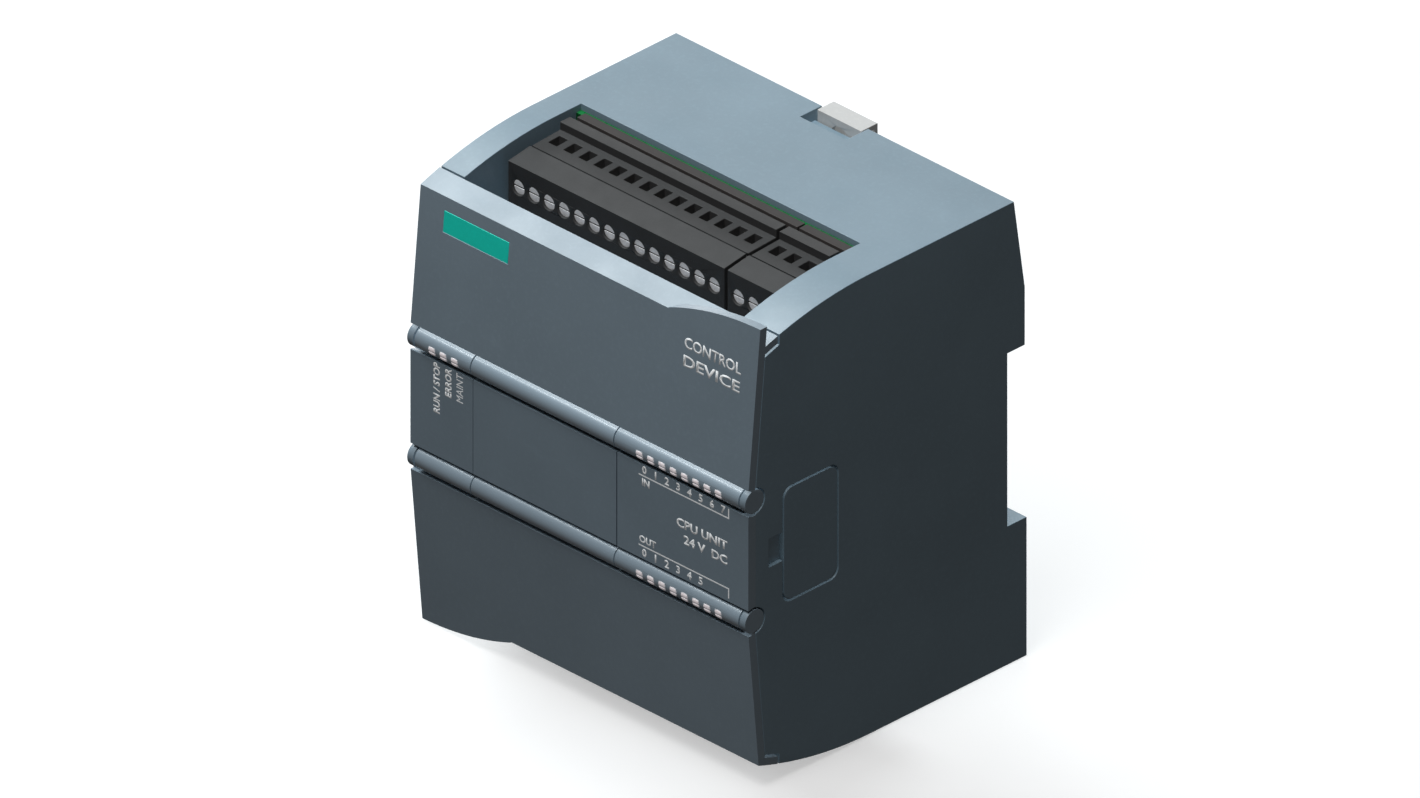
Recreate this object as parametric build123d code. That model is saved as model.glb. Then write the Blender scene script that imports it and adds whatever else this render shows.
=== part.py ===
from build123d import *
import math
import os

# Compact controller module for a 35 mm mounting rail.
# X right, -Y front, +Z up; origin at the bottom centre of the bounding box.
# Most sections are written as (d, z): d is the depth measured forward from
# the back plane, so y = DEPTH / 2 - d.

# ---- driving dimensions (mm) ----
WIDTH = 90.0
HEIGHT = 100.0
DEPTH = 75.0
WALL = 1.5
TOP_FLAT = 41.5          # depth at which the flat top starts to curve down
TOP_R = 90.0             # radius of the curved top and bottom
STRIP_FRONT = 65.85      # front edge of the top strips
RIM_REAR = 66.3          # rear edge of the door rims
DOOR_T = 1.8
RIM_T = 1.6
DOOR_Z0 = 65.85          # lower edge of the upper door plate
DOOR_D0 = 74.1           # outer face of the door at z = 65.5
DOOR_SLOPE = 0.0925      # the door face leans back by this much per mm
BAR_D = 72.5             # axis of the round bars
BAR_Z = 63.0
BAR_R = 2.45
RING_R = 2.5
PIN_R = 1.2
PIN_CLEAR = 0.05
PANEL_D = 74.13          # front face of the middle panel
PANEL_Z0, PANEL_Z1 = 39.8, 60.2
COVER_X0, COVER_X1 = -28.1, 9.8      # blank cover over the option pocket
SHELF_Z0, SHELF_Z1 = 79.4, 81.0
WIN_X0, WIN_X1 = -38.8, 35.5         # wiring windows, top and bottom
WIN_D0 = 34.8
RAIL_Z0, RAIL_Z1 = 30.1, 67.7        # mounting rail recess
RAIL_D = 5.1
BACK_IN = 7.2            # inner face of the back wall
CLIP_W = 11.7
CLIP_HOLE_R = 2.2
IO_D = 35.7              # front faces of the three boards
CPU_D = 57.0
PWR_D = 17.6
BOARD_T = 1.6
PITCH = 4.0
LED_PITCH = 3.0
LED_W, LED_H = 1.7, 1.8
BUS_D0, BUS_D1 = 50.5, 64.6
BUS_Z0, BUS_Z1 = 38.0, 62.2
GAP = 0.4                # groove round the bus covers
WINDOW_DROP = 0.45       # light windows sit this far below the bar axis
DOOR_GAP = 0.1           # flat gap between the door plates and the side walls


def yd(d):
    return DEPTH / 2 - d


def bx(x0, x1, d0, d1, z0, z1):
    return Pos((x0 + x1) / 2, (yd(d0) + yd(d1)) / 2, (z0 + z1) / 2) * Box(
        abs(x1 - x0), abs(d1 - d0), abs(z1 - z0)
    )


def cx(x0, x1, d, z, r):
    return Pos((x0 + x1) / 2, yd(d), z) * Rot(0, 90, 0) * Cylinder(r, abs(x1 - x0))


def cy(x, z, d0, d1, r):
    return Pos(x, yd((d0 + d1) / 2), z) * Rot(90, 0, 0) * Cylinder(r, abs(d1 - d0))


def cz(x, d, z0, z1, r):
    return Pos(x, yd(d), (z0 + z1) / 2) * Cylinder(r, abs(z1 - z0))


def prism(steps, x0, x1):
    """Closed (d, z) section swept from x0 to x1; a step of two points is an arc through the first."""
    edges = []
    here = steps[0]
    for step in list(steps[1:]) + [steps[0]]:
        if isinstance(step[0], tuple):
            mid, end = step
            edges.append(
                Edge.make_three_point_arc(
                    (x0, yd(here[0]), here[1]),
                    (x0, yd(mid[0]), mid[1]),
                    (x0, yd(end[0]), end[1]),
                )
            )
            here = end
        else:
            edges.append(
                Edge.make_line((x0, yd(here[0]), here[1]), (x0, yd(step[0]), step[1]))
            )
            here = step
    return extrude(Face(Wire(edges)), amount=x1 - x0, dir=(1, 0, 0))


def plate_x(x0, x1, d0, d1, z0, z1, r):
    """Plate with its corners rounded about X."""
    b = bx(x0, x1, d0, d1, z0, z1)
    return fillet(b.edges().filter_by(Axis.X), r)


def flip_z(shape):
    flipped = [mirror(s, about=Plane.XY.offset(HEIGHT / 2)) for s in shape.solids()]
    return flipped[0] if len(flipped) == 1 else Compound(children=flipped)


def flip_x(shape):
    return mirror(shape, about=Plane.YZ)


def half_turn(shape):
    return Pos(0, 0, HEIGHT) * Rot(0, 180, 0) * shape


def add(shapes):
    out = shapes[0]
    for s in shapes[1:]:
        out = out + s
    return out


def top_z(d, inset=0.0):
    """Height of the curved top at depth d, offset inward by inset."""
    if d <= TOP_FLAT:
        return HEIGHT - inset
    return HEIGHT - TOP_R + math.sqrt((TOP_R - inset) ** 2 - (d - TOP_FLAT) ** 2)


def door_out(z):
    return DOOR_D0 - DOOR_SLOPE * (z - 65.5)


def door_in(z):
    return door_out(z) - DOOR_T


nodes = {}

# ---- main housing ----
sd = STRIP_FRONT
wall_front_hi = 93.2


def low(p):
    return (p[0], HEIGHT - p[1])


upper = [
    (72.1, 61.0),
    (door_in(65.5) - DOOR_GAP, 65.5),
    (door_in(wall_front_hi) - DOOR_GAP, wall_front_hi),
    (sd, 94.45),
    (sd, top_z(sd)),
    ((54.0, top_z(54.0)), (TOP_FLAT, HEIGHT)),
]
outline = (
    [(72.1, 50.0)]
    + upper
    + [
        (3.35, HEIGHT),
        (0.45, 80.3),
        (0.45, RAIL_Z1),
        (RAIL_D, RAIL_Z1),
        (RAIL_D, RAIL_Z0),
        (0.0, RAIL_Z0),
        (0.0, 0.0),
        (TOP_FLAT, 0.0),
        (low((54.0, top_z(54.0))), low((sd, top_z(sd)))),
        (sd, 5.55),
        low(upper[2]),
        low(upper[1]),
        low(upper[0]),
    ]
)
outer = prism(outline, -WIDTH / 2, WIDTH / 2)
xi = WIDTH / 2 - WALL
cavity = prism(
    [
        (BACK_IN, WALL),
        (TOP_FLAT, WALL),
        (low((56.0, top_z(56.0, WALL))), low((72.0, top_z(72.0, WALL)))),
        (80.0, 10.0),
        (80.0, 90.0),
        (72.0, top_z(72.0, WALL)),
        ((56.0, top_z(56.0, WALL)), (TOP_FLAT, HEIGHT - WALL)),
        (BACK_IN, HEIGHT - WALL),
    ],
    -xi,
    xi,
)
housing = outer - cavity
housing -= bx(-xi, xi, sd, 80, -1, 101)
for z0, z1 in ((95.0, 101.0), (-1.0, 5.0)):
    housing -= bx(WIN_X0, WIN_X1, WIN_D0, 70, z0, z1)
# wiring bays: side walls and front closings, top and bottom
bay = [
    bx(WIN_X0 - 1.4, WIN_X0, 36.1, sd, 81.3, 101),
    bx(WIN_X1, WIN_X1 + 1.4, 36.1, sd, 81.3, 101),
    bx(-xi, WIN_X0 - 1.4, sd - 1.5, sd, 81.3, 101),
    bx(WIN_X1 + 1.4, xi, sd - 1.5, sd, 81.3, 101),
]
for b in bay:
    housing += b & outer
    housing += flip_z(b) & outer
# rail clip guides in the back
housing += bx(-8.2, 8.2, BACK_IN, 10.7, 96.1, HEIGHT - WALL)
housing += bx(-8.2, 8.2, BACK_IN, 10.7, WALL, 3.9)
housing -= bx(-6.15, 6.15, -1, 9.2, 97.6, 101)
housing -= bx(-6.15, 6.15, -1, 9.2, -1, 2.4)
housing -= bx(-6.15, 6.15, -1, 5.2, RAIL_Z1 - 2.8, 101)
housing -= bx(-6.15, 6.15, -1, 5.2, -1, RAIL_Z0 + 2.8)
housing -= bx(-7.6, 7.6, 3.6, 5.2, 70.2, 95.2)
housing -= bx(-7.6, 7.6, 3.6, 5.2, 4.8, 27.6)
# hollow lower and upper back blocks
for x0, x1 in ((-xi, -9.5), (9.5, xi)):
    housing -= bx(x0, x1, 2.2, BACK_IN + 0.1, RAIL_Z1 + 2.0, 84.0)
    housing -= bx(x0, x1, 1.8, BACK_IN + 0.1, 1.8, RAIL_Z0 - 2.0)
# ledges that carry the boards
for s in (-1, 1):
    a, b = (xi - 2.4, xi) if s > 0 else (-xi, -xi + 2.4)
    housing += bx(a, b, IO_D - BOARD_T - 1.4, IO_D - BOARD_T, 12, 88)
    housing += bx(a, b, PWR_D - BOARD_T - 1.4, PWR_D - BOARD_T, 12, 88)
# side openings with the ledges behind the bus covers, and the pry slots
for s in (-1, 1):
    xa, xb = (xi - 1.2, xi) if s > 0 else (-xi, -xi + 1.2)
    housing += bx(xa, xb, 49.5, 63.8, BUS_Z0 - 1.2, BUS_Z1 + 1.2)
    xa, xb = (xi - 2, 46) if s > 0 else (-46, -xi + 2)
    housing -= plate_x(xa, xb, 52.0, 63.1, BUS_Z0 + 1.5, BUS_Z1 - 1.5, 1.2)
    xa, xb = (xi, 46) if s > 0 else (-46, -xi)
    housing -= plate_x(xa, xb, BUS_D0 - GAP, BUS_D1 + GAP, BUS_Z0 - GAP, BUS_Z1 + GAP, 2.2)
    xa, xb = (44.2, 46) if s > 0 else (-46, -44.2)
    housing -= bx(xa, xb, BUS_D1 + 0.1, 68.7, 47.15, 53.3)
# room for the door knuckles
for z in (BAR_Z, HEIGHT - BAR_Z):
    housing -= cx(-46, 46, BAR_D, z, 2.82)
nodes["main_housing"] = housing

# ---- front bezel and the blank cover over the option pocket ----


def front_section(x0, x1, bar_x0, bar_x1):
    """Middle panel with both round bars and the webs behind them."""
    s = bx(x0, x1, 72.1, PANEL_D, PANEL_Z0, PANEL_Z1)
    s += bx(max(x0, -43.1), min(x1, 43.1), 66.0, 72.1, PANEL_Z1 - 2.0, PANEL_Z1)
    s += bx(max(x0, -43.1), min(x1, 43.1), 66.0, 72.1, PANEL_Z0, PANEL_Z0 + 2.0)
    for z in (BAR_Z, HEIGHT - BAR_Z):
        s -= cx(-46, 46, BAR_D, z, 3.05)
    for z in (BAR_Z, HEIGHT - BAR_Z):
        s += cx(bar_x0, bar_x1, BAR_D, z, BAR_R)
        s += bx(bar_x0, bar_x1, 66.0, 71.5, z - 1.8, z + 1.8)
    return s


POCKET_X0, POCKET_X1 = COVER_X0 - 0.3, COVER_X1 + 0.3
half = WIDTH / 2
bezel = front_section(-half, POCKET_X0, -43.1, POCKET_X0)
bezel += front_section(POCKET_X1, half, POCKET_X1, 43.1)
wall = bx(-43.1, 43.1, 64.0, 66.0, HEIGHT - SHELF_Z1, SHELF_Z1)
wall -= bx(POCKET_X0, POCKET_X1, 60, 70, 20.6, 79.2)
bezel += wall
bezel += bx(-43.1, 43.1, 36.0, 64.0, SHELF_Z0, SHELF_Z1)
bezel += bx(-43.1, 43.1, 36.0, 64.0, HEIGHT - SHELF_Z1, HEIGHT - SHELF_Z0)
for s in (-1, 1):
    for z in (BAR_Z, HEIGHT - BAR_Z):
        a, b = (43.0, 44.3) if s > 0 else (-44.3, -43.0)
        bezel += cx(a, b, BAR_D, z, PIN_R)
    for z in (25.5, 74.5):
        bezel += cy(40.0 * s, z, CPU_D, 64.0, 1.8)
# memory card slot in the upper shelf
bezel -= bx(12.6, 37.0, 57.6, 60.0, 79.0, 82.0)
inputs = [16.75 + LED_PITCH * i for i in range(8)]
outputs = [16.75 + LED_PITCH * i for i in range(8)]
status = [-38.5, -35.5, -32.5]
windows = [(x, BAR_Z - WINDOW_DROP) for x in inputs + status]
windows += [(x, HEIGHT - BAR_Z - WINDOW_DROP) for x in outputs]
for x, z in windows:
    bezel -= bx(x - LED_W / 2 - 0.05, x + LED_W / 2 + 0.05, 63, 76, z - LED_H / 2 - 0.05, z + LED_H / 2 + 0.05)
nodes["front_bezel"] = bezel

cover = front_section(COVER_X0 - 0.15, COVER_X1, COVER_X0, COVER_X1)
cover += bx(COVER_X0, COVER_X1, 64.6, 66.0, 20.9, 78.9)
for z0, z1 in ((76.4, 77.6), (22.4, 23.6)):
    for x in (-22.0, 4.0):
        cover += bx(x - 3, x + 3, 61.0, 64.6, z0, z1)
cover -= bx(-13.0, -5.0, 65.3, 67, 75.4, 77.4)
cover -= bx(-13.0, -5.0, 65.3, 67, 22.6, 24.6)
nodes["signal_board_cover"] = cover


def light_pipes(xs, z):
    out = []
    for x in xs:
        zw = z - WINDOW_DROP
        p = bx(x - LED_W / 2, x + LED_W / 2, CPU_D + 1.3, 76, zw - LED_H / 2, zw + LED_H / 2)
        tip = bx(x - 1, x + 1, 50, 72.4, z - 1.9, z + 1.9) + cx(x - 1, x + 1, 72.4, z, 2.6)
        p = p & tip
        p += bx(x - 1.25, x + 1.25, 60.6, 62.0, zw - 1.4, zw + 1.4)
        out.append(p)
    # carrier web that ties a row of light pipes together
    web = bx(xs[0] - 1.25, xs[-1] + 1.25, 60.9, 61.7, z - WINDOW_DROP - 0.9, z - WINDOW_DROP + 0.9)
    return add([web] + out)


nodes["status_light_pipes"] = light_pipes(status[::1], BAR_Z)
nodes["input_light_pipes"] = light_pipes(inputs, BAR_Z)
nodes["output_light_pipes"] = light_pipes(outputs, HEIGHT - BAR_Z)

# ---- terminal doors ----
z_corner = 94.88
for _ in range(20):
    z_corner = top_z(door_out(z_corner))
zi = 93.5
for _ in range(20):
    zi = top_z(door_in(zi), RIM_T)
door = prism(
    [
        (door_out(DOOR_Z0), DOOR_Z0),
        (door_out(z_corner), z_corner),
        ((69.0, top_z(69.0)), (RIM_REAR, top_z(RIM_REAR))),
        (RIM_REAR, top_z(RIM_REAR, RIM_T)),
        ((68.0, top_z(68.0, RIM_T)), (door_in(zi), zi)),
        (door_in(DOOR_Z0), DOOR_Z0),
    ],
    -half,
    half,
)
# finger tab: a shallow arc standing up from the door's outer edge
TAB_W, TAB_Z, TAB_R = 24.0, 99.7, 62.0


def tab_point(run):
    return (half - run, 0, TAB_Z - run * run / (2 * TAB_R))


tab_edges = [
    Edge.make_line((half, 0, 90.0), (half - TAB_W, 0, 90.0)),
    Edge.make_line((half - TAB_W, 0, 90.0), tab_point(TAB_W)),
    Edge.make_three_point_arc(tab_point(TAB_W), tab_point(TAB_W / 2), tab_point(0)),
    Edge.make_line(tab_point(0), (half, 0, 90.0)),
]
tab = extrude(Face(Wire(tab_edges)), amount=60, dir=(0, -1, 0))
slab = prism(
    [
        (door_out(80), 80),
        (door_out(101), 101),
        (door_in(101), 101),
        (door_in(80), 80),
    ],
    -half,
    half,
)
door += tab & slab
# knuckles at both ends
for s in (-1, 1):
    a, b = (43.5, half) if s > 0 else (-half, -43.5)
    knuckle = cx(a, b, BAR_D, BAR_Z, RING_R)
    knuckle += bx(a, b, 72.3, 73.3, BAR_Z, 67.0)
    door += knuckle
    a, b = (43.0, 44.45) if s > 0 else (-44.45, -43.0)
    door -= cx(a, b, BAR_D, BAR_Z, PIN_R + PIN_CLEAR)
# stiffening ribs inside the door
for x in (-30.0, -10.0, 10.0, 30.0):
    rib = prism(
        [
            (door_in(70) + 0.2, 70),
            (door_in(92) + 0.2, 92),
            (door_in(92) - 0.8, 92),
            (door_in(70) - 0.8, 70),
        ],
        x - 0.5,
        x + 0.5,
    )
    door += rib
lower_door = half_turn(door)
# shallow seat for the coloured front label
lab = prism(
    [
        (door_out(87.4) + 1, 87.4),
        (door_out(92.0) + 1, 92.0),
        (door_out(92.0) - 0.2, 92.0),
        (door_out(87.4) - 0.2, 87.4),
    ],
    -38.5,
    -21.1,
)
plate = prism(
    [
        (door_out(87.5), 87.5),
        (door_out(91.9), 91.9),
        (door_out(91.9) - 0.2, 91.9),
        (door_out(87.5) - 0.2, 87.5),
    ],
    -38.4,
    -21.2,
)
nodes["upper_terminal_door"] = door - lab
nodes["front_label"] = plate
nodes["lower_terminal_door"] = lower_door

# ---- rail clips ----


def rail_clip(tip, block):
    """Sliding clip written for the top; tip and block are the free end and the end of its guide."""
    w = CLIP_W / 2
    c = bx(-w, w, 3.9, 4.9, block + 0.8, 99.95)
    c += bx(-w, w, 0.5, 4.9, 98.95, 99.95)
    c += bx(-w, w, 0.5, 1.5, 91.0, 99.95)
    c += bx(-w, w, 2.7, 4.9, block + 0.8, block + 2.0)
    c += bx(-w, w, 2.7, 3.8, tip, block + 2.0)
    c += bx(-w - 1.4, w + 1.4, 3.9, 4.9, block + 3.6, 86.5)
    c -= cy(0, 96.2, -1, 6, CLIP_HOLE_R)
    c -= bx(-1.2, 1.2, 3, 6, 88.0, 89.2)
    return c


nodes["upper_rail_clip"] = rail_clip(RAIL_Z1 - 2.2, RAIL_Z1)
nodes["lower_rail_clip"] = flip_z(rail_clip(HEIGHT - RAIL_Z0 - 2.2, HEIGHT - RAIL_Z0))

# ---- bus covers ----


def bus_cover():
    c = plate_x(xi, half, BUS_D0, BUS_D1, BUS_Z0, BUS_Z1, 2.0)
    for z0, z1 in ((BUS_Z0 + 1.8, BUS_Z0 + 2.6), (BUS_Z1 - 2.6, BUS_Z1 - 1.8)):
        c += bx(xi - 1.3, xi, 53.5, 61.6, z0, z1)
    return c


nodes["expansion_bus_cover"] = bus_cover()
nodes["comm_bus_cover"] = flip_x(bus_cover())

# ---- terminal blocks: written for the top, flipped for the bottom ----


def terminal_set(x0, x1, poles):
    body = prism(
        [
            (39.3, 82.8),
            (39.3, 99.6),
            (42.0, 99.6),
            (42.0, 97.9),
            (49.55, 97.5),
            (49.55, 96.9),
            (49.95, 96.9),
            (49.95, 97.68),
            (55.8, 96.8),
            (55.8, 82.8),
        ],
        x0,
        x1,
    )
    screws, clamps, cuts = [], [], []
    for x in poles:
        cuts.append(bx(x - 1.1, x + 1.1, 43.6, 46.6, 95.0, 99))
        cuts.append(bx(x - 1.45, x + 1.45, 43.0, 47.6, 87.0, 95.0))
        cuts.append(cy(x, 91.9, 53.3, 57, 1.65))
        cuts.append(cy(x, 91.9, 47.0, 54, 0.95))
        cuts.append(bx(x - 0.65, x + 0.65, 39.0, 48.6, 84.8, 86.2))
        head = cy(x, 91.9, 53.35, 55.3, 1.52)
        head -= bx(x - 1.6, x + 1.6, 54.7, 56, 91.7, 92.1)
        head += cy(x, 91.9, 47.65, 53.4, 0.85)
        screws.append(head)
        cage = bx(x - 1.35, x + 1.35, 43.1, 47.5, 88.0, 94.8)
        cage -= bx(x - 0.95, x + 0.95, 43.8, 46.8, 87, 96)
        cage += bx(x - 0.5, x + 0.5, 43.4, 47.2, 87.05, 88.05)
        clamps.append(cage)
    body = body - cuts
    return body, Compound(children=screws), Compound(children=clamps)


def terminal_header(x0, x1, poles):
    h = bx(x0, x1, IO_D + 0.1, 37.4, 82.6, 98.3)
    h += bx(x0, x1, IO_D + 0.1, 48.0, 81.4, 82.5)
    h += bx(x0, x1, IO_D + 0.1, 38.9, 81.4, 84.0)
    # lip resting on the board's edge
    h += bx(x0, x1, IO_D - 0.45, IO_D + 0.2, 98.3, 98.7)
    h += bx(x0, x1, IO_D + 0.1, 37.4, 98.0, 98.7)
    holes = [bx(x - 0.45, x + 0.45, 34, 40, 85.05, 85.95) for x in poles]
    pins = [bx(x - 0.4, x + 0.4, IO_D, 47.8, 85.1, 85.9) for x in poles]
    return h - holes, Compound(children=pins)


in_x = [-34.65 + PITCH * i for i in range(14)]
an_x = [23.8, 27.8, 31.8]
out_x = [3.3 + PITCH * i for i in range(8)]
for name, x0, x1, hx0, hx1, poles, bottom in (
    ("input", -37.3, 20.3, -37.3, 21.3, in_x, False),
    ("analog", 21.1, 34.5, 21.8, 34.5, an_x, False),
    ("output", 0.6, 34.0, 0.6, 34.0, out_x, True),
):
    body, screws, clamps = terminal_set(x0, x1, poles)
    head, pins = terminal_header(hx0, hx1, poles)
    if bottom:
        body, screws, clamps, head, pins = [flip_z(s) for s in (body, screws, clamps, head, pins)]
    nodes[name + "_terminal_block"] = body
    nodes[name + "_terminal_screws"] = screws
    nodes[name + "_wire_clamps"] = clamps
    nodes[name + "_terminal_header"] = head
    nodes[name + "_header_pins"] = pins

# ---- boards ----
io_board = bx(-42.9, 42.9, IO_D - BOARD_T, IO_D, 1.7, 98.3)
cpu_board = bx(-42.0, 42.0, CPU_D - BOARD_T, CPU_D, 22.0, 78.0)
power_board = bx(-42.9, 42.9, PWR_D - BOARD_T, PWR_D, 5.0, 95.0)
for s in (-1, 1):
    for z in (25.5, 74.5):
        cpu_board -= cy(40.0 * s, z, 50, 60, 1.1)
    for z in (9.0, 91.0):
        power_board -= cy(39.5 * s, z, 10, 20, 1.6)
nodes["io_board"] = io_board
nodes["cpu_board"] = cpu_board
nodes["power_board"] = power_board

# ---- network jack, opening downwards ----
jx0, jx1 = -37.4, -21.4
shell = bx(jx0, jx1, IO_D + 0.1, IO_D + 13.6, 1.2, 18.6)
shell -= bx(jx0 + 0.4, jx1 - 0.4, IO_D + 0.5, IO_D + 13.2, 0, 18.2)
shell -= bx(jx0 + 5.4, jx1 - 5.4, IO_D + 12.8, IO_D + 14, 0.9, 4.2)
nodes["network_jack_shell"] = shell
insert = bx(jx0 + 0.5, jx1 - 0.5, IO_D + 0.6, IO_D + 13.1, 1.4, 18.1)
insert -= bx(jx0 + 2.1, jx1 - 2.1, IO_D + 4.4, IO_D + 11.4, 0, 15.6)
insert -= bx(jx0 + 5.4, jx1 - 5.4, IO_D + 11.0, IO_D + 14, 0, 9.0)
xs8 = [(jx0 + jx1) / 2 + 1.02 * (i - 3.5) for i in range(8)]
insert -= [bx(x - 0.3, x + 0.3, IO_D + 3.3, IO_D + 4.9, 0.5, 13.0) for x in xs8]
nodes["network_jack_insert"] = insert
contacts = [
    bx(x - 0.2, x + 0.2, IO_D + 3.5, IO_D + 3.9, 3.0, 12.9)
    + bx(x - 0.2, x + 0.2, IO_D + 3.5, IO_D + 5.6, 3.0, 3.4)
    for x in xs8
]
nodes["network_jack_contacts"] = Compound(children=contacts)

# ---- sockets and connectors ----
card = bx(11.8, 37.8, CPU_D, CPU_D + 3.6, 66.0, 79.1)
card -= bx(12.6, 37.0, CPU_D + 0.6, CPU_D + 3.0, 68.0, 80)
card -= bx(18.0, 31.6, CPU_D + 2.0, CPU_D + 4, 73.5, 80)
nodes["memory_card_socket"] = card

sbc = bx(-19.0, 1.0, CPU_D, CPU_D + 5.2, 46.6, 53.4)
sbc -= bx(-18.2, 0.2, CPU_D + 1.4, CPU_D + 6, 47.4, 52.6)
sbc += bx(-17.4, -0.6, CPU_D + 1.3, CPU_D + 4.4, 49.5, 50.5)
nodes["signal_board_connector"] = sbc


def bus_socket():
    s = bx(37.0, 43.3, CPU_D, CPU_D + 5.5, 42.0, 58.2)
    s -= bx(38.4, 44.0, CPU_D + 0.9, CPU_D + 4.6, 43.2, 57.0)
    s += bx(38.3, 42.3, CPU_D + 2.3, CPU_D + 3.2, 44.0, 56.2)
    return s


nodes["expansion_bus_socket"] = bus_socket()
nodes["comm_bus_socket"] = flip_x(bus_socket())

link = []
for x0, x1, z0, z1 in ((-30.0, -6.0, 26.0, 31.0), (6.0, 30.0, 69.0, 74.0)):
    lower_half = bx(x0, x1, IO_D, 46.0, z0, z1) - bx(x0 + 1, x1 - 1, 44.0, 47.0, z0 + 1, z1 - 1)
    upper_half = bx(x0, x1, 46.1, CPU_D - BOARD_T, z0, z1)
    upper_half -= bx(x0 + 0.7, x1 - 0.7, 46.0, 47.0, z0 + 0.7, z1 - 0.7)
    link.append((lower_half, upper_half))
nodes["board_link_headers"] = Compound(children=[l[0] for l in link])
nodes["board_link_sockets"] = Compound(children=[l[1] for l in link])
pl = bx(-38.0, -20.0, PWR_D, IO_D - BOARD_T, 46.0, 53.0)
pl -= bx(-36.6, -21.4, 24.0, 30.0, 40.0, 60.0)
nodes["power_link_connector"] = pl

# ---- parts on the processor board ----
chip = bx(14.0, 30.0, CPU_D, CPU_D + 1.6, 43.0, 57.0)
chip -= cy(15.6, 55.4, CPU_D + 1.3, CPU_D + 3, 0.6)
legs = []
for i in range(20):
    x = 15.0 + 14.0 * i / 19
    legs.append(bx(x - 0.15, x + 0.15, CPU_D, CPU_D + 0.35, 57.0, 58.2))
    legs.append(bx(x - 0.15, x + 0.15, CPU_D, CPU_D + 0.35, 41.8, 43.0))
nodes["processor_chip"] = add([chip] + legs)
mem = []
for x0, z0 in ((-40.0, 36.0), (-40.0, 68.0)):
    m = bx(x0 + 0.8, x0 + 8.0, CPU_D, CPU_D + 1.2, z0 - 6.0, z0)
    for i in range(7):
        zz = z0 - 5.4 + 0.8 * i
        m += bx(x0, x0 + 0.8, CPU_D, CPU_D + 0.3, zz - 0.15, zz + 0.15)
        m += bx(x0 + 8.0, x0 + 8.8, CPU_D, CPU_D + 0.3, zz - 0.15, zz + 0.15)
    mem.append(m)
nodes["memory_chips"] = Compound(children=[mem[0]])
leds = [bx(x - 0.8, x + 0.8, CPU_D, CPU_D + 0.7, z - 0.4, z + 0.4) for x, z in windows]
leds = [l + bx((x - 0.5), (x + 0.5), CPU_D + 0.7, CPU_D + 1.1, z - 0.35, z + 0.35) for l, (x, z) in zip(leds, windows)]
nodes["status_leds"] = Compound(children=leds)
cap = cy(32.0, 29.0, CPU_D, CPU_D + 4.8, 4.6)
cap += cy(32.0, 29.0, CPU_D, CPU_D + 4.2, 5.2)
nodes["backup_capacitor"] = cap

# ---- parts on the power board ----
core = bx(8.0, 28.0, PWR_D, PWR_D + 14.5, 58.0, 76.0)
core -= bx(7.0, 29.0, PWR_D + 3.2, PWR_D + 11.3, 61.2, 72.8)
core += bx(14.0, 22.0, PWR_D + 3.0, PWR_D + 11.5, 63.6, 70.4)
nodes["transformer_core"] = core
bob = bx(10.4, 25.6, PWR_D + 3.4, PWR_D + 11.1, 61.4, 72.6)
bob -= bx(13.9, 22.1, PWR_D + 2, PWR_D + 12, 63.5, 70.5)
winding_cut = bx(12.0, 24.0, PWR_D + 2, PWR_D + 12, 60.0, 62.2) + bx(12.0, 24.0, PWR_D + 2, PWR_D + 12, 71.8, 74)
nodes["transformer_windings"] = bob - winding_cut
# the centre leg joins the core's two side plates through the winding window
core_leg = bx(14.0, 22.0, PWR_D, PWR_D + 14.5, 63.6, 70.4)
nodes["transformer_core"] = core + core_leg
caps = []
for x, z in ((-30.0, 66.0), (-16.0, 66.0), (-30.0, 80.0)):
    c = cy(x, z, PWR_D, PWR_D + 14.0, 5.0)
    c -= cy(x, z, PWR_D + 13.6, PWR_D + 15, 4.2)
    c -= cy(x, z, PWR_D + 1.6, PWR_D + 2.2, 6) - cy(x, z, PWR_D + 1.5, PWR_D + 2.3, 4.7)
    caps.append(c)
nodes["filter_capacitors"] = Compound(children=caps)
ind = cy(18.0, 40.0, PWR_D, PWR_D + 1.6, 7.0)
ind += cy(18.0, 40.0, PWR_D + 1.5, PWR_D + 10.0, 4.6)
ind += cy(18.0, 40.0, PWR_D + 9.9, PWR_D + 11.5, 7.0)
nodes["power_inductor"] = ind
fuse = bx(-38.0, -28.0, PWR_D, PWR_D + 6.5, 20.0, 24.0)
fuse = fillet(fuse.edges().filter_by(Axis.Y), 0.8)
nodes["input_fuse"] = fuse

# ---- parts on the input and output board ----
drv = []
for x0 in (4.0, 18.0):
    d = bx(x0, x0 + 9.0, IO_D, IO_D + 2.3, 32.0, 39.0)
    for i in range(8):
        x = x0 + 0.8 + 1.05 * i
        d += bx(x - 0.2, x + 0.2, IO_D, IO_D + 0.5, 30.8, 32.0)
        d += bx(x - 0.2, x + 0.2, IO_D, IO_D + 0.5, 39.0, 40.2)
    drv.append(d)
nodes["output_drivers"] = Compound(children=drv)
opt = []
for i in range(6):
    x0 = -34.0 + 6.4 * i
    o = bx(x0, x0 + 4.4, IO_D, IO_D + 2.2, 58.0, 62.4)
    for xx in (x0 + 0.9, x0 + 3.5):
        o += bx(xx - 0.25, xx + 0.25, IO_D, IO_D + 0.5, 56.9, 58.0)
        o += bx(xx - 0.25, xx + 0.25, IO_D, IO_D + 0.5, 62.4, 63.5)
    opt.append(o)
nodes["input_optocouplers"] = Compound(children=opt)

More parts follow.
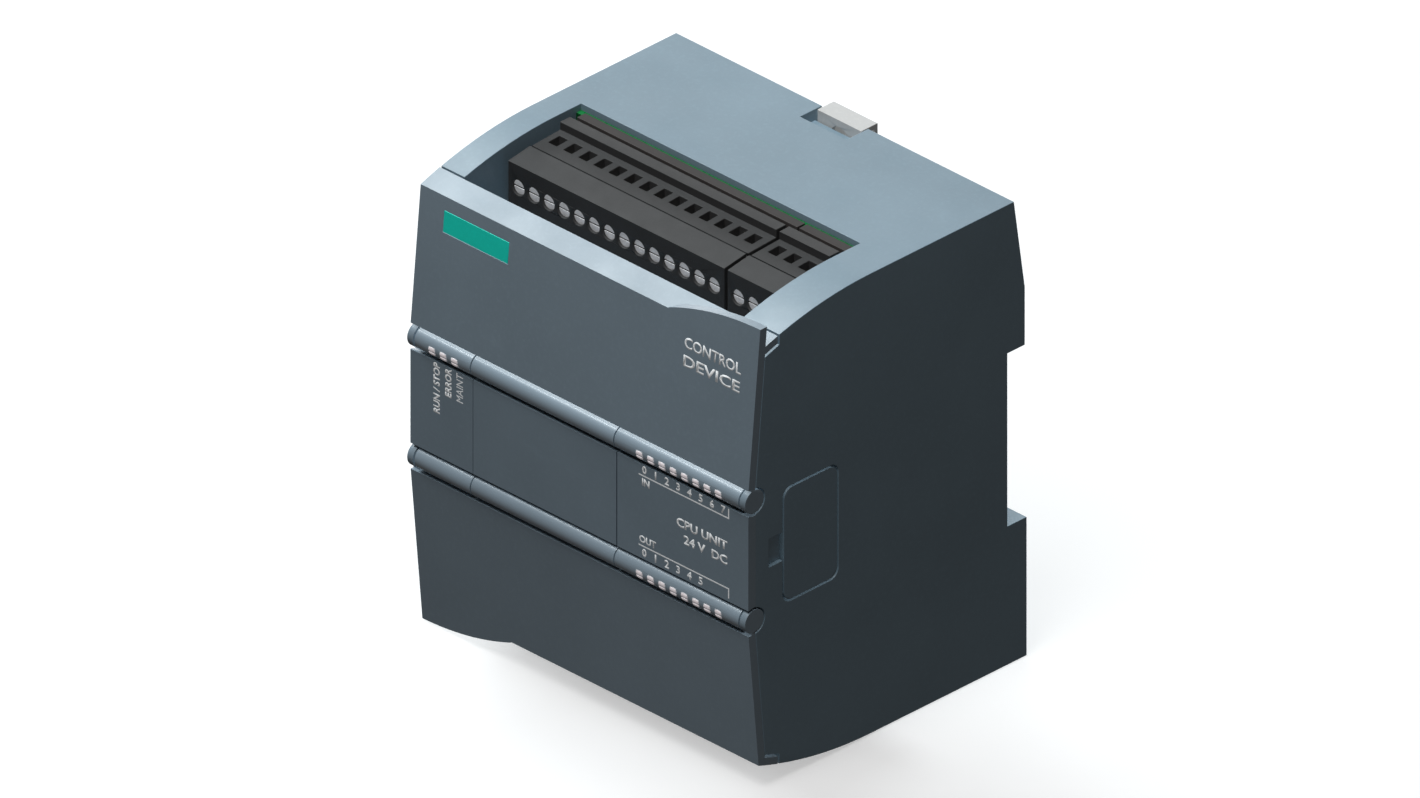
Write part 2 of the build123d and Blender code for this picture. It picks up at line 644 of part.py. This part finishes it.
os.makedirs("parts", exist_ok=True)
for name, shape in nodes.items():
    if isinstance(shape, (list, ShapeList)):
        shape = Compound(children=list(shape))
    export_step(shape, "parts/" + name + ".step")
    bb = shape.bounding_box()
    print(
        name,
        len(shape.solids()),
        round(shape.volume, 2),
        [round(v, 2) for v in (bb.min.X, bb.min.Y, bb.min.Z, bb.max.X, bb.max.Y, bb.max.Z)],
    )
print(len(nodes), "nodes")
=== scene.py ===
import math
import bpy
import bmesh
from mathutils import Matrix, Vector


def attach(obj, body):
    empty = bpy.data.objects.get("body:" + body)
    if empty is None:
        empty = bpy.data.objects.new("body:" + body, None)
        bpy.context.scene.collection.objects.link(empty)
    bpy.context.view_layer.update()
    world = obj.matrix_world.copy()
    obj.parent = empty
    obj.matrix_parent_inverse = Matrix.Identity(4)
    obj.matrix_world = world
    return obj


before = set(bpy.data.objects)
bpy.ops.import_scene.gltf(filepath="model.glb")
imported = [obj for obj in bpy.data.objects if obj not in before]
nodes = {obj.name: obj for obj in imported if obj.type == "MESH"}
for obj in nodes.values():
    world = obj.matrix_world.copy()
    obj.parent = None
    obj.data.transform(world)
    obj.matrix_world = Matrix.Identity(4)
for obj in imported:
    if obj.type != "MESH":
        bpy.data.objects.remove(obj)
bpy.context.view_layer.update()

MM = 0.001
D = 75.0
scene = bpy.context.scene
scene.view_settings.view_transform = "Standard"
scene.view_settings.look = "None"


def yd(d):
    return (D / 2 - d) * MM


def P(x, d, z):
    return Vector((x * MM, yd(d), z * MM))


# ---------------------------------------------------------------- camera

cam_data = bpy.data.cameras.new("camera")
cam_data.type = "ORTHO"
cam_data.ortho_scale = 0.26737
cam_data.clip_start = 0.01
cam_data.clip_end = 20.0
cam = bpy.data.objects.new("camera", cam_data)
scene.collection.objects.link(cam)
aim = Vector((0.0, -0.00183, 0.05343))
back = Vector((0.612372, -0.612372, 0.5)).normalized()
cam.location = aim + back * 1.2
cam.rotation_mode = "QUATERNION"
cam.rotation_quaternion = (-back).to_track_quat("-Z", "Y")
scene.camera = cam


# ---------------------------------------------------------------- node helpers


class Tree:
    def __init__(self, name):
        self.mat = bpy.data.materials.new(name)
        self.mat.use_nodes = True
        self.t = self.mat.node_tree
        self.t.nodes.clear()
        self.out = self.t.nodes.new("ShaderNodeOutputMaterial")
        self.b = self.t.nodes.new("ShaderNodeBsdfPrincipled")
        self.link(self.b.outputs[0], self.out.inputs[0])
        tc = self.t.nodes.new("ShaderNodeTexCoord")
        self.co = tc.outputs["Object"]

    def link(self, a, b):
        self.t.links.new(a, b)

    def node(self, kind, **kw):
        n = self.t.nodes.new(kind)
        for k, v in kw.items():
            setattr(n, k, v)
        return n

    def scaled(self, sx, sy, sz):
        m = self.node("ShaderNodeMapping")
        m.inputs["Scale"].default_value = (sx, sy, sz)
        self.link(self.co, m.inputs["Vector"])
        return m.outputs[0]

    def noise(self, scale, detail=3.0, rough=0.5, vec=None):
        n = self.node("ShaderNodeTexNoise")
        n.inputs["Scale"].default_value = scale
        n.inputs["Detail"].default_value = detail
        n.inputs["Roughness"].default_value = rough
        self.link(vec or self.co, n.inputs["Vector"])
        return n.outputs["Fac"]

    def voronoi(self, scale, feature="F1", out="Distance", vec=None):
        n = self.node("ShaderNodeTexVoronoi", feature=feature)
        n.inputs["Scale"].default_value = scale
        self.link(vec or self.co, n.inputs["Vector"])
        return n.outputs[out]

    def ramp(self, fac, stops):
        n = self.node("ShaderNodeValToRGB")
        cr = n.color_ramp
        while len(cr.elements) > 1:
            cr.elements.remove(cr.elements[-1])
        cr.elements[0].position = stops[0][0]
        cr.elements[0].color = tuple(stops[0][1]) + (1.0,)
        for pos, col in stops[1:]:
            e = cr.elements.new(pos)
            e.color = tuple(col) + (1.0,)
        self.link(fac, n.inputs["Fac"])
        return n.outputs["Color"]

    def remap(self, fac, a0, a1, b0, b1):
        n = self.node("ShaderNodeMapRange")
        n.inputs["From Min"].default_value = a0
        n.inputs["From Max"].default_value = a1
        n.inputs["To Min"].default_value = b0
        n.inputs["To Max"].default_value = b1
        self.link(fac, n.inputs["Value"])
        return n.outputs["Result"]

    def math(self, op, a, b=None, clamp=False):
        n = self.node("ShaderNodeMath", operation=op)
        n.use_clamp = clamp
        for i, v in enumerate((a, b)):
            if v is None:
                continue
            if isinstance(v, (int, float)):
                n.inputs[i].default_value = v
            else:
                self.link(v, n.inputs[i])
        return n.outputs[0]

    def mix(self, fac, a, b):
        n = self.node("ShaderNodeMix", data_type="RGBA")
        if isinstance(fac, (int, float)):
            n.inputs[0].default_value = fac
        else:
            self.link(fac, n.inputs[0])
        for sock, v in ((n.inputs[6], a), (n.inputs[7], b)):
            if isinstance(v, tuple):
                sock.default_value = v if len(v) == 4 else v + (1.0,)
            else:
                self.link(v, sock)
        return n.outputs[2]

    def bump(self, height, strength, distance, normal=None):
        n = self.node("ShaderNodeBump")
        n.inputs["Strength"].default_value = strength
        n.inputs["Distance"].default_value = distance
        self.link(height, n.inputs["Height"])
        if normal is not None:
            self.link(normal, n.inputs["Normal"])
        return n.outputs[0]

    def edges(self, lo=0.52, hi=0.62):
        g = self.node("ShaderNodeNewGeometry")
        return self.remap(g.outputs["Pointiness"], lo, hi, 0.0, 1.0)


def tone(c, k):
    return tuple(max(0.0, min(1.0, v * k)) for v in c)


def plastic(name, base, rough=0.42, grain=2600.0, grain_h=0.000012, var=0.07, spec=0.5, blotch=26.0, scuff=0.35, coat=0.0, groove_shade=False):
    """Moulded plastic: eroded grain, flow colour drift, fine dust speckle and handling scuffs."""
    t = Tree(name)
    drift = t.noise(blotch, 4.0, 0.6)
    col = t.ramp(drift, [(0.3, tone(base, 1 - var)), (0.5, base), (0.72, tone(base, 1 + var))])
    speck = t.noise(grain * 0.42, 2.0, 0.6)
    col = t.mix(t.remap(speck, 0.5, 0.78, 0.0, 0.22), col, tone(base, 1.35))
    # long faint scuffs that lighten the surface where hands and tools pass
    sc = t.noise(60.0, 6.0, 0.72, t.scaled(1.0, 1.0, 5.0))
    scf = t.remap(sc, 0.62, 0.74, 0.0, scuff)
    col = t.mix(scf, col, tone(base, 1.22))
    if groove_shade:
        # painted shade: the groove between the wire row and the screw row, near the ends of the block, is coloured near
        # black as if in shadow
        gs = t.node("ShaderNodeSeparateXYZ")
        t.link(t.co, gs.inputs[0])
        across = t.math("LESS_THAN", t.math("ABSOLUTE", t.math("SUBTRACT", gs.outputs["Y"], -0.01225)), 0.00034)
        outer = t.math("GREATER_THAN", t.math("ABSOLUTE", t.math("SUBTRACT", gs.outputs["Z"], 0.05)), 0.0465)
        col = t.mix(t.math("MULTIPLY", across, outer), col, tone(base, 0.12))
    t.link(col, t.b.inputs["Base Color"])
    r = t.remap(t.noise(blotch * 3.1, 5.0, 0.65), 0.3, 0.7, rough - 0.05, rough + 0.06)
    r = t.math("ADD", r, t.math("MULTIPLY", scf, 0.12), True)
    t.link(r, t.b.inputs["Roughness"])
    g = t.voronoi(grain, "SMOOTH_F1")
    g2 = t.noise(grain * 0.6, 3.0, 0.6)
    h = t.math("ADD", g, t.math("MULTIPLY", g2, 0.8))
    n = t.bump(h, 0.35, grain_h)
    t.link(n, t.b.inputs["Normal"])
    t.b.inputs["Specular IOR Level"].default_value = spec
    t.b.inputs["IOR"].default_value = 1.5
    if coat:
        # painted highlight: the round bars, 10.35 to 15.6 mm above and below the middle, get a paler copy of the colour
        # as if lit more strongly, and a polished coat
        sep = t.node("ShaderNodeSeparateXYZ")
        t.link(t.co, sep.inputs[0])
        off = t.math("ABSOLUTE", t.math("SUBTRACT", sep.outputs["Z"], 0.05))
        bar = t.math("MULTIPLY", t.math("GREATER_THAN", off, 0.01035), t.math("LESS_THAN", off, 0.0156))
        bar_painted_highlight = t.ramp(drift, [(0.3, tone(base, 1.32)), (0.5, tone(base, 1.42)), (0.72, tone(base, 1.5))])
        t.link(t.mix(bar, col, bar_painted_highlight), t.b.inputs["Base Color"])
        t.link(t.math("MULTIPLY", bar, coat), t.b.inputs["Coat Weight"])
        t.b.inputs["Coat Roughness"].default_value = 0.34
        t.b.inputs["Coat IOR"].default_value = 2.6
    return t.mat


def screw_metal(name):
    """Zinc-plated screw heads: bright, dulled by driver marks; painted shade darkens the slot and flank, and a faint
    painted glow brightens the head.
    """
    t = Tree(name)
    f = t.noise(900.0, 5.0, 0.7)
    c = t.ramp(f, [(0.3, (0.66, 0.65, 0.66)), (0.55, (0.82, 0.81, 0.82)), (0.8, (0.92, 0.91, 0.92))])
    # painted shade: the slot and the flank, behind the crown, are coloured near black; only the crown keeps the bright
    # zinc colour
    sep = t.node("ShaderNodeSeparateXYZ")
    t.link(t.co, sep.inputs[0])
    c = t.mix(t.math("GREATER_THAN", sep.outputs["Y"], -0.01768), c, (0.035, 0.034, 0.035))
    t.link(c, t.b.inputs["Base Color"])
    t.b.inputs["Metallic"].default_value = 0.35
    t.link(t.remap(f, 0.3, 0.7, 0.30, 0.46), t.b.inputs["Roughness"])
    t.link(t.bump(t.noise(2600.0, 3.0, 0.7), 0.4, 0.00002), t.b.inputs["Normal"])
    # painted light: the head glows faintly with its own colour, which brightens it
    t.link(c, t.b.inputs["Emission Color"])
    t.b.inputs["Emission Strength"].default_value = 0.10
    return t.mat


def metal(name, base, rough=0.3, brush=(1.0, 1.0, 1.0), var=0.12, pits=0.5):
    t = Tree(name)
    v = t.scaled(*brush)
    lines = t.noise(900.0, 4.0, 0.7, v)
    tar = t.noise(240.0, 5.0, 0.6)
    col = t.ramp(tar, [(0.3, tone(base, 1 - var)), (0.55, base), (0.8, tone(base, 1 + var * 0.5))])
    t.link(col, t.b.inputs["Base Color"])
    t.b.inputs["Metallic"].default_value = 1.0
    r = t.remap(lines, 0.3, 0.7, rough - 0.08, rough + 0.14)
    r = t.math("ADD", r, t.remap(tar, 0.55, 0.8, 0.0, 0.12))
    t.link(r, t.b.inputs["Roughness"])
    t.link(t.bump(lines, 0.25 * pits, 0.00001), t.b.inputs["Normal"])
    return t.mat


def board(name, base):
    """Solder mask over glass laminate: copper tracks raised under the mask, plated holes, weave."""
    t = Tree(name)
    v = t.scaled(1.0, 1.0, 1.0)
    br = t.node("ShaderNodeTexBrick")
    br.inputs["Scale"].default_value = 160.0
    br.inputs["Mortar Size"].default_value = 0.06
    br.inputs["Color1"].default_value = (0, 0, 0, 1)
    br.inputs["Color2"].default_value = (0.4, 0.4, 0.4, 1)
    br.inputs["Mortar"].default_value = (1, 1, 1, 1)
    sw = t.node("ShaderNodeSeparateXYZ")
    t.link(v, sw.inputs[0])
    cb = t.node("ShaderNodeCombineXYZ")
    t.link(sw.outputs["X"], cb.inputs["X"])
    t.link(sw.outputs["Z"], cb.inputs["Y"])
    t.link(cb.outputs[0], br.inputs["Vector"])
    tracks = br.outputs["Fac"]
    col = t.mix(tracks, tone(base, 0.85), tone(base, 1.5))
    col = t.mix(t.remap(t.noise(90.0, 3.0), 0.4, 0.7, 0.0, 0.35), col, tone(base, 0.7))
    dots = t.voronoi(330.0, "F1", vec=cb.outputs[0])
    via = t.remap(dots, 0.05, 0.09, 1.0, 0.0)
    col = t.mix(via, col, (0.30, 0.29, 0.19))
    # the sawn edge of the laminate, above and below the mask, is a brighter green
    edge = t.math("GREATER_THAN", t.math("ABSOLUTE", t.math("SUBTRACT", sw.outputs["Z"], 0.05)), 0.0481)
    col = t.mix(edge, col, (0.0, 0.19, 0.040))
    t.link(col, t.b.inputs["Base Color"])
    t.link(t.remap(t.noise(700.0, 2.0), 0.3, 0.7, 0.24, 0.36), t.b.inputs["Roughness"])
    t.link(t.bump(tracks, 0.5, 0.00003), t.b.inputs["Normal"])
    return t.mat


def paint_ink(name, col, rough=0.45):
    t = Tree(name)
    f = t.noise(3200.0, 2.0, 0.6)
    c = t.ramp(f, [(0.25, tone(col, 0.82)), (0.5, col), (0.8, tone(col, 1.06))])
    t.link(c, t.b.inputs["Base Color"])
    t.link(t.remap(f, 0.3, 0.7, rough - 0.05, rough + 0.08), t.b.inputs["Roughness"])
    t.link(t.bump(f, 0.2, 0.000004), t.b.inputs["Normal"])
    # painted light: the ink glows faintly with its own colour, which brightens the print
    t.link(c, t.b.inputs["Emission Color"])
    t.b.inputs["Emission Strength"].default_value = 0.14
    return t.mat


PETROL = (0.196, 0.286, 0.350)
PETROL_F = (0.226, 0.300, 0.360)
mats = {
    "housing": plastic("housing_plastic", PETROL, 0.40, spec=0.9),
    "door": plastic("door_plastic", (0.236, 0.310, 0.370), 0.40, spec=0.9, blotch=20.0),
    "panel": plastic("panel_plastic", PETROL_F, 0.36, grain_h=0.000006, spec=1.0, blotch=32.0, coat=1.0),
    "terminal": plastic("terminal_plastic", (0.036, 0.036, 0.0365), 0.5, grain=3600.0, spec=0.3, blotch=70.0, groove_shade=True),
    "header": plastic("header_plastic", (0.062, 0.055, 0.053), 0.5, grain=3600.0, spec=0.3, blotch=90.0),
    "clip": plastic("clip_plastic", (0.60, 0.60, 0.59), 0.45, grain=3400.0, var=0.04, blotch=60.0),
    "white": plastic("socket_white", (0.70, 0.68, 0.62), 0.42, grain=3200.0, var=0.04),
    "black": plastic("socket_black", (0.030, 0.030, 0.032), 0.42, grain=3600.0),
    "chip": plastic("chip_package", (0.022, 0.022, 0.024), 0.5, grain=5200.0, scuff=0.2),
    "ferrite": plastic("ferrite", (0.06, 0.06, 0.064), 0.55, grain=1900.0, grain_h=0.00004, blotch=120.0),
    "tape": plastic("winding_tape", (0.72, 0.52, 0.08), 0.3, grain=1500.0, var=0.12, blotch=150.0),
    "sleeve": plastic("capacitor_sleeve", (0.02, 0.035, 0.085), 0.28, grain=3000.0),
    "label": plastic("label_plate", (0.01, 0.80, 0.63), 0.36, grain=3800.0, var=0.05, blotch=110.0, scuff=0.2),
    "screw": screw_metal("zinc_screw"),
    "steel": metal("plated_steel", (0.72, 0.72, 0.71), 0.26, (1.0, 1.0, 1.0)),
    "sheet": metal("tinned_sheet", (0.66, 0.66, 0.64), 0.32, (0.25, 1.0, 4.0)),
    "gold": metal("gold_plate", (0.88, 0.66, 0.26), 0.24),
    "nickel": metal("nickel_plate", (0.70, 0.68, 0.62), 0.3),
    "copper": metal("enamelled_wire", (0.66, 0.30, 0.12), 0.3, (0.05, 6.0, 0.05), pits=2.0),
    "pcb": board("solder_mask", (0.0, 0.062, 0.012)),
    "ink": paint_ink("white_ink", (0.84, 0.86, 0.87)),
}


def lens(name):
    """Frosted light pipe: pale, slightly milky, with moulding haze."""
    t = Tree(name)
    f = t.noise(1400.0, 3.0)
    c = t.ramp(f, [(0.3, (0.50, 0.56, 0.60)), (0.6, (0.62, 0.68, 0.71)), (0.85, (0.72, 0.77, 0.79))])
    t.link(c, t.b.inputs["Base Color"])
    t.link(t.remap(f, 0.3, 0.7, 0.16, 0.3), t.b.inputs["Roughness"])
    t.link(t.bump(f, 0.2, 0.00001), t.b.inputs["Normal"])
    t.b.inputs["Subsurface Weight"].default_value = 0.35
    t.b.inputs["Subsurface Radius"].default_value = (0.001, 0.001, 0.001)
    t.b.inputs["Subsurface Scale"].default_value = 1.0
    return t.mat


mats["lens"] = lens("light_pipe")


def window_material():
    """Unlit lamp window: warm white diffuser, glossy, a little dust in the moulding, with a faint painted glow that
    brightens it although the lamp is off.
    """
    t = Tree("lamp_window")
    f = t.noise(1700.0, 3.0)
    c = t.ramp(f, [(0.3, (0.70, 0.63, 0.65)), (0.6, (0.82, 0.76, 0.78)), (0.85, (0.88, 0.83, 0.84))])
    t.link(c, t.b.inputs["Base Color"])
    t.link(t.remap(f, 0.3, 0.7, 0.22, 0.36), t.b.inputs["Roughness"])
    t.link(t.bump(f, 0.2, 0.00001), t.b.inputs["Normal"])
    t.b.inputs["Specular IOR Level"].default_value = 0.8
    # painted light: the window glows faintly with its own colour although its lamp is unlit
    t.link(c, t.b.inputs["Emission Color"])
    t.b.inputs["Emission Strength"].default_value = 0.22
    return t.mat


mats["window"] = window_material()

by_node = {
    "main_housing": "housing", "front_bezel": "panel", "signal_board_cover": "panel",
    "upper_terminal_door": "door", "lower_terminal_door": "door", "front_label": "label",
    "expansion_bus_cover": "housing", "comm_bus_cover": "housing",
    "upper_rail_clip": "clip", "lower_rail_clip": "clip",
    "status_light_pipes": "lens", "input_light_pipes": "lens", "output_light_pipes": "lens",
    "io_board": "pcb", "cpu_board": "pcb", "power_board": "pcb",
    "network_jack_shell": "sheet", "network_jack_insert": "black", "network_jack_contacts": "gold",
    "memory_card_socket": "sheet", "signal_board_connector": "black",
    "expansion_bus_socket": "black", "comm_bus_socket": "black",
    "board_link_headers": "white", "board_link_sockets": "black", "power_link_connector": "white",
    "processor_chip": "chip", "memory_chips": "chip", "status_leds": "white",
    "backup_capacitor": "steel", "transformer_core": "ferrite", "transformer_windings": "tape",
    "filter_capacitors": "sleeve", "power_inductor": "copper", "input_fuse": "black",
    "output_drivers": "chip", "input_optocouplers": "chip",
}
for k in ("input", "analog", "output"):
    by_node[k + "_terminal_block"] = "terminal"
    by_node[k + "_terminal_screws"] = "screw"
    by_node[k + "_wire_clamps"] = "nickel"
    by_node[k + "_terminal_header"] = "header"
    by_node[k + "_header_pins"] = "gold"

bevels = {
    "main_housing": 0.28, "front_bezel": 0.16, "signal_board_cover": 0.16,
    "upper_terminal_door": 0.22, "lower_terminal_door": 0.22,
    "expansion_bus_cover": 0.2, "comm_bus_cover": 0.2,
    "upper_rail_clip": 0.14, "lower_rail_clip": 0.14,
    "input_terminal_block": 0.12, "analog_terminal_block": 0.12, "output_terminal_block": 0.12,
}


def finish_node(obj, name):
    me = obj.data
    me.materials.clear()
    me.materials.append(mats[by_node[name]])
    me.polygons.foreach_set("use_smooth", [True] * len(me.polygons))
    w = obj.modifiers.new("weld", "WELD")
    w.merge_threshold = 0.000002
    width = bevels.get(name, 0.06)
    b = obj.modifiers.new("bevel", "BEVEL")
    b.width = width * MM
    b.segments = 2
    b.limit_method = "ANGLE"
    b.angle_limit = math.radians(32)
    b.use_clamp_overlap = True
    b.harden_normals = False
    b.miter_outer = "MITER_ARC"
    n = obj.modifiers.new("normals", "WEIGHTED_NORMAL")
    n.mode = "FACE_AREA"
    n.weight = 80
    n.keep_sharp = False


for name, obj in nodes.items():
    finish_node(obj, name)


# ---------------------------------------------------------------- prints


def ride(obj, body):
    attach(obj, body)
    return obj


def mesh_obj(name, bm, mat):
    me = bpy.data.meshes.new(name)
    bm.to_mesh(me)
    bm.free()
    me.materials.append(mats[mat] if isinstance(mat, str) else mat)
    o = bpy.data.objects.new(name, me)
    scene.collection.objects.link(o)
    return o


def front_matrix(x, d, z, slope=0.0, turn=0.0):
    """Text plane on the front: local X to the right, local Y up, raised towards the viewer."""
    m = Matrix.Translation(P(x, d, z)) @ Matrix.Rotation(math.radians(90) - slope, 4, "X")
    return m @ Matrix.Rotation(turn, 4, "Z")


def text_mesh(name, body, cap, matrix, align="CENTER", length=None, bold=0.035, spacing=1.0):
    """Raised ink lettering with cap height cap and, when given, overall length (mm)."""
    cu = bpy.data.curves.new(name + "_curve", "FONT")
    cu.body = body
    cu.size = 1.0
    cu.offset = bold
    cu.align_x = align
    cu.align_y = "CENTER"
    cu.space_character = spacing
    cu.extrude = 0.0
    cu.resolution_u = 3
    tmp = bpy.data.objects.new(name + "_tmp", cu)
    scene.collection.objects.link(tmp)
    bpy.context.view_layer.update()
    dg = bpy.context.evaluated_depsgraph_get()
    me = bpy.data.meshes.new_from_object(tmp.evaluated_get(dg))
    bpy.data.objects.remove(tmp)
    xs = [v.co.x for v in me.vertices]
    ys = [v.co.y for v in me.vertices]
    x0, x1, y0, y1 = min(xs), max(xs), min(ys), max(ys)
    ky = cap * MM / (y1 - y0)
    kx = length * MM / (x1 - x0) if length else ky
    anchor = {"LEFT": x0, "RIGHT": x1, "CENTER": (x0 + x1) / 2}[align]
    for v in me.vertices:
        v.co = Vector(((v.co.x - anchor) * kx, (v.co.y - (y0 + y1) / 2) * ky, 0.0))
    bm = bmesh.new()
    bm.from_mesh(me)
    bmesh.ops.remove_doubles(bm, verts=bm.verts, dist=1e-7)
    top = bmesh.ops.extrude_face_region(bm, geom=bm.faces[:])
    bmesh.ops.translate(bm, vec=(0, 0, 0.000016), verts=[g for g in top["geom"] if isinstance(g, bmesh.types.BMVert)])
    bmesh.ops.recalc_face_normals(bm, faces=bm.faces)
    bm.to_mesh(me)
    bm.free()
    me.transform(matrix)
    me.materials.clear()
    me.materials.append(mats["ink"])
    o = bpy.data.objects.new(name, me)
    scene.collection.objects.link(o)
    return o


def strip_boxes(name, boxes, mat="ink"):
    """Thin printed strips: (x0, x1, z0, z1, d)."""
    bm = bmesh.new()
    for x0, x1, z0, z1, d in boxes:
        a = [P(x0, d, z0), P(x1, d, z0), P(x1, d, z1), P(x0, d, z1)]
        f = [bm.verts.new(p) for p in a]
        g = [bm.verts.new(p - Vector((0, 0.000012, 0))) for p in a]
        bm.faces.new(g)
        bm.faces.new(list(reversed(f)))
        for i in range(4):
            bm.faces.new((f[i], f[(i + 1) % 4], g[(i + 1) % 4], g[i]))
    bm.normal_update()
    return mesh_obj(name, bm, mat)


PD = 74.128  # on the face of the middle panel
DOOR_TILT = math.atan(0.0925)


def door_d(z):
    return 74.1 - 0.0925 * (z - 65.5)


def join(objs, name):
    bpy.ops.object.select_all(action="DESELECT")
    for o in objs:
        o.select_set(True)
    bpy.context.view_layer.objects.active = objs[0]
    bpy.ops.object.join()
    objs[0].name = name
    objs[0].data.name = name
    return objs[0]


# numerals beside the light windows
ins = [text_mesh("n_in_%d" % i, str(i), 1.75, front_matrix(17.3 + 3 * i, PD, 59.2)) for i in range(8)]
outs = [text_mesh("n_out_%d" % i, str(i), 1.75, front_matrix(17.3 + 3 * i, PD, 41.2)) for i in range(6)]
ride(join(ins, "input_numerals"), "base")
ride(join(outs, "output_numerals"), "base")
ride(strip_boxes("input_bracket", [
    (15.8, 39.9, 57.75, 58.02, PD), (39.62, 39.9, 58.02, 60.0, PD),
]), "base")
ride(strip_boxes("output_bracket", [
    (15.8, 39.9, 42.45, 42.72, PD), (39.62, 39.9, 40.5, 42.45, PD),
]), "base")
ride(text_mesh("input_mark", "IN", 1.6, front_matrix(17.7, PD, 56.5)), "base")
ride(text_mesh("output_mark", "OUT", 1.6, front_matrix(18.2, PD, 44.0)), "base")
q = math.radians(90)
marks = [
    text_mesh("status_a", "RUN / STOP", 1.75, front_matrix(-38.0, PD, 60.0, 0, q), "RIGHT", 10.9),
    text_mesh("status_b", "ERROR", 1.75, front_matrix(-34.9, PD, 60.0, 0, q), "RIGHT", 6.2),
    text_mesh("status_c", "MAINT", 1.75, front_matrix(-31.85, PD, 60.0, 0, q), "RIGHT", 6.1, 0.0),
]
ride(join(marks, "status_marks"), "base")
lines = [
    text_mesh("unit_a", "CPU UNIT", 2.0, front_matrix(39.4, PD, 51.7), "RIGHT", 13.5, 0.03),
    text_mesh("unit_b", "24 V  DC", 2.0, front_matrix(39.4, PD, 48.5), "RIGHT", 11.6, 0.03),
]
ride(join(lines, "unit_marks"), "base")
lines = [
    text_mesh("type_a", "CONTROL", 2.4, front_matrix(33.3, door_d(89.7) - 0.002, 89.7, DOOR_TILT), "CENTER", 15.0, 0.02),
    text_mesh("type_b", "DEVICE", 2.4, front_matrix(33.3, door_d(85.9) - 0.002, 85.9, DOOR_TILT), "CENTER", 15.0, 0.02),
]
ride(join(lines, "type_marks"), "upper_door")


def pillow(bm, xc, zc, axis_z):
    """Bulging light window: two soft lobes with a crease between them, on the bar's curve."""
    nu, nw = 15, 25
    grid = []
    for j in range(nw):
        w = -1 + 2 * j / (nw - 1)
        row = []
        for i in range(nu):
            a = -1 + 2 * i / (nu - 1)
            # squircle outline
            k = 1.0 - 0.16 * a * a * w * w
            x, z = xc + 0.93 * a * k, zc + 0.95 * w * k
            h = (1 - abs(a) ** 4) ** 0.5 * (1 - abs(w) ** 4) ** 0.5
            h *= 1 - 0.8 * math.exp(-(((w + 0.05) / 0.16) ** 2))
            r = 2.36 + 0.30 * h
            dz = z - axis_z
            row.append(bm.verts.new(P(x, 72.5 + math.sqrt(r * r - dz * dz), z)))
        grid.append(row)
    base = []
    for j in range(nw):
        base.append([bm.verts.new(v.co + Vector((0, 0.0004, 0))) for v in grid[j]])
    for j in range(nw - 1):
        for i in range(nu - 1):
            bm.faces.new((grid[j][i], grid[j][i + 1], grid[j + 1][i + 1], grid[j + 1][i]))
            bm.faces.new((base[j + 1][i], base[j + 1][i + 1], base[j][i + 1], base[j][i]))
    for i in range(nu - 1):
        bm.faces.new((base[0][i], base[0][i + 1], grid[0][i + 1], grid[0][i]))
        bm.faces.new((grid[-1][i], grid[-1][i + 1], base[-1][i + 1], base[-1][i]))
    for j in range(nw - 1):
        bm.faces.new((grid[j][0], grid[j + 1][0], base[j + 1][0], base[j][0]))
        bm.faces.new((base[j][-1], base[j + 1][-1], grid[j + 1][-1], grid[j][-1]))


for group, xs, axis_z in (
    ("status", (-38.5, -35.5, -32.5), 63.0),
    ("input", [16.75 + 3 * i for i in range(8)], 63.0),
    ("output", [16.75 + 3 * i for i in range(8)], 37.0),
):
    bm = bmesh.new()
    for x in xs:
        pillow(bm, x, axis_z - 0.45, axis_z)
    bmesh.ops.recalc_face_normals(bm, faces=bm.faces)
    o = mesh_obj(group + "_window_lenses", bm, "window")
    o.data.polygons.foreach_set("use_smooth", [True] * len(o.data.polygons))
    ride(o, "base")

# ---------------------------------------------------------------- floor and light

bm = bmesh.new()
R = 6.0
vs = [bm.verts.new((x, y, -0.0004)) for x, y in ((-R, -R), (R, -R), (R, R), (-R, R))]
bm.faces.new(vs)
floor_mat = Tree("floor")
fc = floor_mat.noise(3.0, 2.0)
floor_mat.link(floor_mat.ramp(fc, [(0.3, (0.80, 0.80, 0.80)), (0.7, (0.82, 0.82, 0.82))]), floor_mat.b.inputs["Base Color"])
floor_mat.b.inputs["Roughness"].default_value = 0.9
floor_mat.b.inputs["Emission Color"].default_value = (1.0, 1.0, 1.0, 1.0)
floor_mat.b.inputs["Emission Strength"].default_value = 0.30
floor_mat.b.inputs["Specular IOR Level"].default_value = 0.1
floor = mesh_obj("floor", bm, floor_mat.mat)
floor.visible_diffuse = False
floor.visible_glossy = False

world = bpy.data.worlds.new("studio")
scene.world = world
world.use_nodes = True
bg = world.node_tree.nodes["Background"]
bg.inputs["Color"].default_value = (1.0, 0.92, 0.88, 1.0)
bg.inputs["Strength"].default_value = 0.055


def area(name, direction, dist, size, power, colour=(1, 1, 1), size_y=None):
    ld = bpy.data.lights.new(name, "AREA")
    ld.shape = "RECTANGLE"
    ld.size = size
    ld.size_y = size_y or size
    ld.energy = power
    ld.color = colour
    o = bpy.data.objects.new(name, ld)
    scene.collection.objects.link(o)
    v = Vector(direction).normalized()
    o.location = aim + v * dist
    o.rotation_mode = "QUATERNION"
    o.rotation_quaternion = (-v).to_track_quat("-Z", "Y")
    return o


area("key", (0.12, -0.42, 0.90), 1.2, 0.5, 3.3)
fill = area("key_fill", (0.14, -0.42, 0.90), 1.25, 0.5, 5.3)
crest = area("crest", (-0.612, 0.06, 0.785), 1.1, 0.72, 8.0, (0.90, 0.97, 1.0), size_y=0.5)
bars = bpy.data.collections.new("bars")
for n in ("front_bezel", "signal_board_cover"):
    bars.objects.link(nodes[n])
for o in (fill, crest):
    o.light_linking.blocker_collection = bars
area("back_left", (-0.72, 0.68, 0.10), 1.4, 0.7, 6.0)
